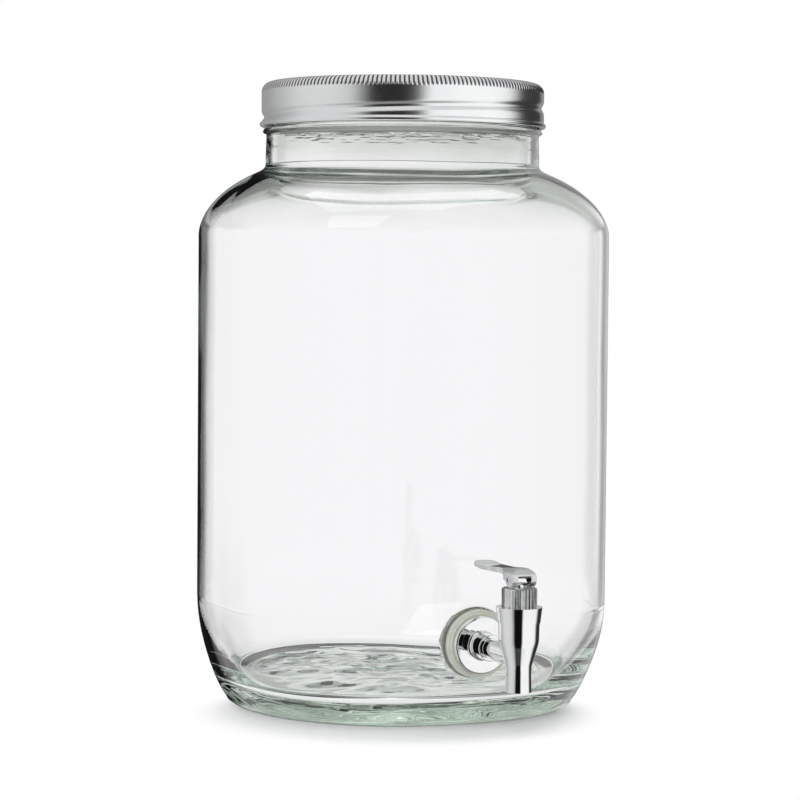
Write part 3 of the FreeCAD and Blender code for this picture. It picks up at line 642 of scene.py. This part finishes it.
def radius_and_height(tree):
    """Add nodes that give a place's distance from the upright axis and its height."""
    place = tree.nodes.new("ShaderNodeTexCoord")
    split = tree.nodes.new("ShaderNodeSeparateXYZ")
    tree.links.new(place.outputs["Object"], split.inputs["Vector"])
    across = combine(tree, "POWER", split.outputs["X"], 2.0)
    along = combine(tree, "POWER", split.outputs["Y"], 2.0)
    radius = combine(tree, "SQRT", combine(tree, "ADD", across, along), 0.0)
    return radius, split.outputs["Z"]


def turn_wave(tree, forward, count):
    """Add nodes that give a wave with so many crests round an upright axis that stands so far forward."""
    place = tree.nodes.new("ShaderNodeTexCoord")
    middle = tree.nodes.new("ShaderNodeMapping")
    middle.inputs["Location"].default_value = (0.0, forward * MM, 0.0)
    turn = tree.nodes.new("ShaderNodeTexGradient")
    turn.gradient_type = "RADIAL"
    tree.links.new(place.outputs["Object"], middle.inputs["Vector"])
    tree.links.new(middle.outputs["Vector"], turn.inputs["Vector"])
    angle = combine(tree, "MULTIPLY", turn.outputs["Fac"], count * math.tau)
    return combine(tree, "COSINE", angle, 0.0)


def new_material(name, **settings):
    """Start a node material and set plain values on its shader."""
    material = bpy.data.materials.new(name)
    material.use_nodes = True
    shader = material.node_tree.nodes["Principled BSDF"]
    for key, value in settings.items():
        shader.inputs[key.replace("_", " ").title().replace("Ior", "IOR")].default_value = value
    return material, shader


def add_noise(material, scale, detail=4.0, stretch=(1.0, 1.0, 1.0)):
    """Add a noise pattern in the object's own space, stretched along its axes."""
    tree = material.node_tree
    place = tree.nodes.new("ShaderNodeTexCoord")
    mapping = tree.nodes.new("ShaderNodeMapping")
    mapping.inputs["Scale"].default_value = stretch
    pattern = tree.nodes.new("ShaderNodeTexNoise")
    pattern.inputs["Scale"].default_value = scale
    pattern.inputs["Detail"].default_value = detail
    tree.links.new(place.outputs["Object"], mapping.inputs["Vector"])
    tree.links.new(mapping.outputs["Vector"], pattern.inputs["Vector"])
    return pattern.outputs["Fac"]


def vary(material, pattern, low, high, socket):
    """Drive one number of the shader by a pattern, between two values."""
    tree = material.node_tree
    span = tree.nodes.new("ShaderNodeMapRange")
    span.inputs["To Min"].default_value = low
    span.inputs["To Max"].default_value = high
    tree.links.new(pattern, span.inputs["Value"])
    tree.links.new(span.outputs["Result"], socket)


def tint(material, pattern, first, second):
    """Vary a colour by a pattern, between two colours."""
    tree = material.node_tree
    ramp = tree.nodes.new("ShaderNodeValToRGB")
    for stop, place, colour in zip(ramp.color_ramp.elements, TINT_RANGE, (first, second)):
        stop.position = place
        stop.color = (*colour, 1.0)
    tree.links.new(pattern, ramp.inputs["Fac"])
    return ramp.outputs["Color"]


def paint(material, shader, colour):
    """Give the shader its colour from the output of a node."""
    material.node_tree.links.new(colour, shader.inputs["Base Color"])


def roughen(material, shader, height, depth):
    """Bump the surface by a pattern of heights, to a depth in millimetres."""
    tree = material.node_tree
    bump = tree.nodes.new("ShaderNodeBump")
    bump.inputs["Distance"].default_value = depth * MM
    tree.links.new(height, bump.inputs["Height"])
    tree.links.new(bump.outputs["Normal"], shader.inputs["Normal"])


def glass_colour(material, in_neck, radius, height):
    """Tint the glass in its thick base, and unevenly in its shoulder and its neck: painted shade, partly
    the green of thick glass.
    """
    tree = material.node_tree
    outside = size_range(tree, radius, FLOOR_EDGE)
    above = size_range(tree, height, FLOOR_TOP)
    off_floor = combine(tree, "MAXIMUM", outside, above)
    in_shoulder = size_range(tree, height, SHOULDER_FOOT)
    painted_shade_patches = add_noise(material, scale=14.0, detail=1.0, stretch=(1.0, 1.0, 0.5))
    shoulder = tint(material, painted_shade_patches, SHOULDER_PAINTED_SHADE, SHOULDER_LIGHT)
    neck = tint(material, painted_shade_patches, NECK_PAINTED_SHADE, NECK_LIGHT)
    # The thick base gets its green, deepened as painted shade
    colour = blend_colours(tree, off_floor, BASE_GREEN_AND_SHADE, CLEAR)
    colour = blend_colours(tree, in_shoulder, colour, shoulder)
    return blend_colours(tree, in_neck, colour, neck)


def glass_material():
    """Clear pressed glass, faintly green and streaky in its thick places, with painted shade in its base,
    shoulder and neck.
    """
    material, shader = new_material("clear_glass", transmission_weight=1.0, roughness=0.0, ior=1.52)
    tree = material.node_tree
    radius, height = radius_and_height(tree)
    in_neck = size_range(tree, height, NECK_FOOT)
    paint(material, shader, glass_colour(material, in_neck, radius, height))
    streaks = add_noise(material, scale=60.0, detail=2.0, stretch=(0.5, 0.5, 4.0))
    ripple = add_noise(material, scale=22.0, detail=1.0, stretch=(1.0, 1.0, 0.6))
    neck_streaks = combine(tree, "MULTIPLY", streaks, in_neck)
    faint_ripple = combine(tree, "MULTIPLY", ripple, RIPPLE_SHARE)
    roughen(material, shader, combine(tree, "ADD", neck_streaks, faint_ripple), STREAK_DEPTH)
    body = tree.nodes.new("ShaderNodeVolumeAbsorption")
    body.inputs["Color"].default_value = GLASS_BODY
    body.inputs["Density"].default_value = GLASS_DENSITY
    tree.links.new(body.outputs["Volume"], tree.nodes["Material Output"].inputs["Volume"])
    return material


def notch_shade_mask(tree):
    """Give 1 in the notches of the lid's milled edge, where shade is painted, and 0 elsewhere."""
    radius, height = radius_and_height(tree)
    corner = LID_RADIUS - LID_CORNER
    notch = smooth_range(tree, turn_wave(tree, 0.0, MILL_COUNT), *NOTCH_RANGE)
    above = size_range(tree, height, (MILL_LOW, MILL_LOW + NOTCH_RISE))
    edge = size_range(tree, radius, (corner, corner + NOTCH_EDGE))
    return combine(tree, "MULTIPLY", notch, combine(tree, "MULTIPLY", above, edge))


def lid_material():
    """Satin tinplate with the fine grain of rolled sheet, and painted shade in the notches of its milled
    edge.
    """
    material, shader = new_material("satin_metal", metallic=1.0)
    tree = material.node_tree
    grain = add_noise(material, scale=900.0, detail=3.0)
    cloud = add_noise(material, scale=40.0, detail=3.0)
    metal = tint(material, cloud, (0.86, 0.87, 0.88), (0.93, 0.94, 0.94))
    # Painted shade in the notches of the milled edge
    paint(material, shader, blend_colours(tree, notch_shade_mask(tree), metal, NOTCH_PAINTED_SHADE))
    vary(material, cloud, low=0.16, high=0.24, socket=shader.inputs["Roughness"])
    roughen(material, shader, grain, depth=0.01)
    return material


def chrome_material(name, first, second):
    """Polished plating, with faint waves of the moulding under it."""
    material, shader = new_material(name, metallic=1.0)
    waves = add_noise(material, scale=120.0, detail=2.0)
    paint(material, shader, tint(material, waves, first, second))
    vary(material, waves, low=0.03, high=0.07, socket=shader.inputs["Roughness"])
    roughen(material, shader, waves, depth=0.02)
    return material


def ribbed_material():
    """Polished plating over the upright ribs that give the bonnet its grip."""
    material, shader = new_material("ribbed_plating", metallic=1.0)
    grain = add_noise(material, scale=250.0, detail=2.0)
    paint(material, shader, tint(material, grain, (0.66, 0.68, 0.67), (0.84, 0.85, 0.84)))
    vary(material, grain, low=0.05, high=0.14, socket=shader.inputs["Roughness"])
    roughen(material, shader, turn_wave(material.node_tree, TAP_REACH, RIB_COUNT), RIB_DEPTH)
    return material


def silicone_material():
    """Pale translucent silicone with a dull skin."""
    material, shader = new_material("silicone", roughness=0.55, subsurface_weight=0.2)
    cloud = add_noise(material, scale=180.0)
    paint(material, shader, tint(material, cloud, (0.56, 0.55, 0.47), (0.64, 0.63, 0.55)))
    roughen(material, shader, add_noise(material, scale=1500.0), depth=0.03)
    return material


def plastic_material(name, first, second):
    """Moulded plastic with a fine matt skin."""
    material, shader = new_material(name)
    cloud = add_noise(material, scale=150.0)
    paint(material, shader, tint(material, cloud, first, second))
    vary(material, cloud, low=0.38, high=0.52, socket=shader.inputs["Roughness"])
    roughen(material, shader, add_noise(material, scale=1200.0), depth=0.02)
    return material


def steel_material():
    """Drawn steel wire and pin."""
    material, shader = new_material("drawn_steel", metallic=1.0)
    lines = add_noise(material, scale=400.0, detail=4.0, stretch=(0.1, 1.0, 1.0))
    paint(material, shader, tint(material, lines, (0.50, 0.50, 0.51), (0.62, 0.62, 0.63)))
    vary(material, lines, low=0.2, high=0.35, socket=shader.inputs["Roughness"])
    return material


def rubber_material():
    """Black sealing rubber."""
    material, shader = new_material("black_rubber", roughness=0.6)
    cloud = add_noise(material, scale=300.0)
    paint(material, shader, tint(material, cloud, (0.02, 0.02, 0.02), (0.05, 0.05, 0.05)))
    return material


def dress_cad_nodes():
    """Give every CAD piece that still shows its own material."""
    chrome = chrome_material("chrome_plating", (0.86, 0.87, 0.88), (0.91, 0.91, 0.91))
    silicone = silicone_material()
    looks = {
        "spigot_body": chrome,
        "bonnet": ribbed_material(),
        "valve_stem": chrome,
        # Lever: the same chrome made darker, as painted shade for its dark reflections
        "lever": chrome_material("lever_plating_painted_shade", (0.54, 0.55, 0.56), (0.66, 0.66, 0.67)),
        "outer_washer": silicone,
        "inner_washer": silicone,
        "valve_plug": silicone,
        "lock_nut": plastic_material("white_plastic", (0.78, 0.78, 0.76), (0.84, 0.84, 0.82)),
        "lid_liner": plastic_material("liner_foam", (0.84, 0.84, 0.82), (0.90, 0.90, 0.88)),
        "pivot_pin": steel_material(),
        "stem_o_ring": rubber_material(),
    }
    for name, material in looks.items():
        nodes[name].data.materials.clear()
        nodes[name].data.materials.append(material)


def studio_levels(tree, around, stops):
    """Turn the angle round the object into a grey level, by a list of stops."""
    ramp = tree.nodes.new("ShaderNodeValToRGB")
    elements = ramp.color_ramp.elements
    for index, (angle, level) in enumerate(sorted(stops, reverse=True)):
        place = 0.5 - angle / 360
        stop = elements[index] if index < 2 else elements.new(place)
        stop.position = place
        stop.color = (level, level, level, 1.0)
    tree.links.new(around, ramp.inputs["Fac"])
    return ramp.outputs["Color"]


def mirror_studio(tree, around, height):
    """Give what metal reflects: bright and dark panels round it, a pale ceiling and a grey floor."""
    sides = studio_levels(tree, around, MIRROR_STOPS)
    sides_and_top = blend_colours(tree, smooth_range(tree, height, *MIRROR_TOP_RISE), sides, MIRROR_TOP)
    return blend_colours(tree, smooth_range(tree, height, *MIRROR_FLOOR_FALL), sides_and_top, MIRROR_FLOOR)


def gathered_light(tree, direction):
    """Give the streaky green light that reaches the eye after many bounces in thick glass."""
    pattern = tree.nodes.new("ShaderNodeTexNoise")
    pattern.inputs["Scale"].default_value = PIPED_SCALE
    tree.links.new(direction, pattern.inputs["Vector"])
    streaks = smooth_range(tree, pattern.outputs["Fac"], *PIPED_RANGE)
    return blend_colours(tree, streaks, PIPED_DARK, PIPED_LIGHT)


def glass_studio(tree, path, direction, around, height):
    """Give what shows through glass: white through both walls, and dark panels at the jar's edges."""
    bounces = path.outputs["Glossy Depth"]
    through = combine(tree, "GREATER_THAN", path.outputs["Transmission Depth"], THROUGH_WALLS)
    straight = blend_colours(tree, through, studio_levels(tree, around, GLASS_STOPS), WHITE)
    level = smooth_range(tree, combine(tree, "ABSOLUTE", height, 0.0), *BOUNCE_LEVEL)
    bounced = combine(tree, "MULTIPLY", level, combine(tree, "COMPARE", bounces, 1.0))
    levels = blend_colours(tree, bounced, straight, studio_levels(tree, around, BOUNCE_STOPS))
    sides = blend_colours(tree, levels, BLACK, BACKDROP)
    piped = combine(tree, "GREATER_THAN", bounces, PIPED_BOUNCES)
    sides = blend_colours(tree, piped, sides, gathered_light(tree, direction))
    return blend_colours(tree, smooth_range(tree, height, *GLASS_TOP_RISE), sides, GLASS_TOP)


def make_world():
    """White to the camera, a studio with dark panels to glass and metal, and even light for the rest."""
    world = bpy.data.worlds.new("studio")
    bpy.context.scene.world = world
    world.use_nodes = True
    tree = world.node_tree
    place = tree.nodes.new("ShaderNodeTexCoord")
    direction = place.outputs["Generated"]
    turn = tree.nodes.new("ShaderNodeMapping")
    turn.inputs["Rotation"].default_value = (0.0, 0.0, -math.radians(90 + CAMERA_AZIMUTH))
    gradient = tree.nodes.new("ShaderNodeTexGradient")
    gradient.gradient_type = "RADIAL"
    split = tree.nodes.new("ShaderNodeSeparateXYZ")
    path = tree.nodes.new("ShaderNodeLightPath")
    tree.links.new(direction, turn.inputs["Vector"])
    tree.links.new(turn.outputs["Vector"], gradient.inputs["Vector"])
    tree.links.new(direction, split.inputs["Vector"])
    around = gradient.outputs["Color"]
    height = split.outputs["Z"]
    mirror = mirror_studio(tree, around, height)
    glass = glass_studio(tree, path, direction, around, height)
    sheen = studio_levels(tree, around, SHEEN_STOPS)
    gloss = blend_colours(tree, path.outputs["Is Singular Ray"], mirror, sheen)
    seen = blend_colours(tree, path.outputs["Is Glossy Ray"], EVEN_LIGHT, gloss)
    seen = blend_colours(tree, path.outputs["Is Transmission Ray"], seen, glass)
    shown = blend_colours(tree, path.outputs["Is Camera Ray"], seen, WHITE)
    tree.links.new(shown, tree.nodes["Background"].inputs["Color"])


def shadow_fade(tree):
    """Add nodes that give 0 in the oval of floor under the object and 1 beyond it."""
    azimuth = math.radians(CAMERA_AZIMUTH)
    middle = Vector((-math.sin(azimuth), math.cos(azimuth), 0.0)) * SHADOW_MIDDLE * MM
    place = tree.nodes.new("ShaderNodeTexCoord")
    oval = tree.nodes.new("ShaderNodeMapping")
    oval.vector_type = "TEXTURE"
    oval.inputs["Location"].default_value = middle
    oval.inputs["Rotation"].default_value = (0.0, 0.0, azimuth)
    oval.inputs["Scale"].default_value = (SHADOW_WIDTH * MM, SHADOW_LENGTH * MM, 1.0)
    length = tree.nodes.new("ShaderNodeVectorMath")
    length.operation = "LENGTH"
    tree.links.new(place.outputs["Object"], oval.inputs["Vector"])
    tree.links.new(oval.outputs["Vector"], length.inputs[0])
    return smooth_range(tree, length.outputs["Value"], SHADOW_SOFT, 1.0)


def blend_shaders(tree, share, first, second):
    """Mix two shaders, and give the result's socket."""
    mix = tree.nodes.new("ShaderNodeMixShader")
    tree.links.new(share, mix.inputs["Fac"])
    tree.links.new(first, mix.inputs[1])
    tree.links.new(second, mix.inputs[2])
    return mix.outputs["Shader"]


def make_floor():
    """Lay a white floor that shows the shadow, fades into the backdrop and leaves metal its studio; near
    the object it is grey, as painted shade, and it glows to glass as painted light.
    """
    corners = [(-1, -1), (1, -1), (1, 1), (-1, 1)]
    points = [Vector((x * FLOOR_SIZE, y * FLOOR_SIZE, -FLOOR_DROP)) for x, y in corners]
    floor = new_piece("floor", points, [(0, 1, 2, 3)])
    material, shader = new_material("white_floor", roughness=0.9, specular_ior_level=0.1)
    shader.inputs["Base Color"].default_value = FLOOR_SHADE_GREY
    tree = material.node_tree
    path = tree.nodes.new("ShaderNodeLightPath")
    open_air = tree.nodes.new("ShaderNodeBsdfTransparent").outputs["BSDF"]
    white = tree.nodes.new("ShaderNodeEmission").outputs["Emission"]
    backdrop = blend_shaders(tree, path.outputs["Is Camera Ray"], open_air, white)
    # The floor glows to rays through the glass: painted light
    glow = combine(tree, "MULTIPLY", path.outputs["Is Transmission Ray"], FLOOR_PAINTED_LIGHT)
    lit = blend_shaders(tree, glow, shader.outputs["BSDF"], white)
    hidden = combine(tree, "MAXIMUM", shadow_fade(tree), path.outputs["Is Glossy Ray"])
    shown = blend_shaders(tree, hidden, lit, backdrop)
    tree.links.new(shown, tree.nodes["Material Output"].inputs["Surface"])
    floor.data.materials.append(material)


def make_lamp(name, place, size):
    """Hang a soft square lamp that faces the middle of the jar."""
    lamp = bpy.data.lights.new(name, "AREA")
    lamp.size = size
    lamp.energy = LAMP_WATTS
    holder = bpy.data.objects.new(name, lamp)
    bpy.context.scene.collection.objects.link(holder)
    holder.location = place
    holder.visible_glossy = False
    aim = Vector(LAMP_AIM) - Vector(place)
    holder.rotation_euler = aim.to_track_quat("-Z", "Y").to_euler()


def make_camera():
    """Stand the camera where the photograph was taken from."""
    camera = bpy.data.cameras.new("camera")
    camera.sensor_width = SENSOR
    camera.lens = FOCAL_PIXELS / IMAGE_SIZE * SENSOR
    camera.shift_x = -CAMERA_SHIFT / IMAGE_SIZE
    holder = bpy.data.objects.new("camera", camera)
    bpy.context.scene.collection.objects.link(holder)
    azimuth = math.radians(CAMERA_AZIMUTH)
    pitch = math.radians(CAMERA_PITCH)
    roll = math.radians(CAMERA_ROLL)
    level = Vector((-math.sin(azimuth), math.cos(azimuth), 0.0))
    forward = level * math.cos(pitch) - Vector((0.0, 0.0, math.sin(pitch)))
    right = Vector((math.cos(azimuth), math.sin(azimuth), 0.0))
    up = right.cross(forward)
    rolled_right = right * math.cos(roll) + up * math.sin(roll)
    rolled_up = up * math.cos(roll) - right * math.sin(roll)
    turned = Matrix((rolled_right, rolled_up, -forward)).transposed().to_4x4()
    place = (Vector((0.0, 0.0, CAMERA_HEIGHT)) - level * CAMERA_DISTANCE) * MM
    holder.matrix_world = Matrix.Translation(place) @ turned
    bpy.context.scene.camera = holder


make_jar()
make_lid()
make_spring()
dress_cad_nodes()
make_world()
make_floor()
make_lamp("key_lamp", KEY_LAMP_PLACE, KEY_LAMP_SIZE)
make_lamp("top_lamp", TOP_LAMP_PLACE, TOP_LAMP_SIZE)
make_camera()
bpy.context.scene.view_settings.view_transform = "Standard"
bpy.context.scene.cycles.glossy_bounces = GLASS_BOUNCES
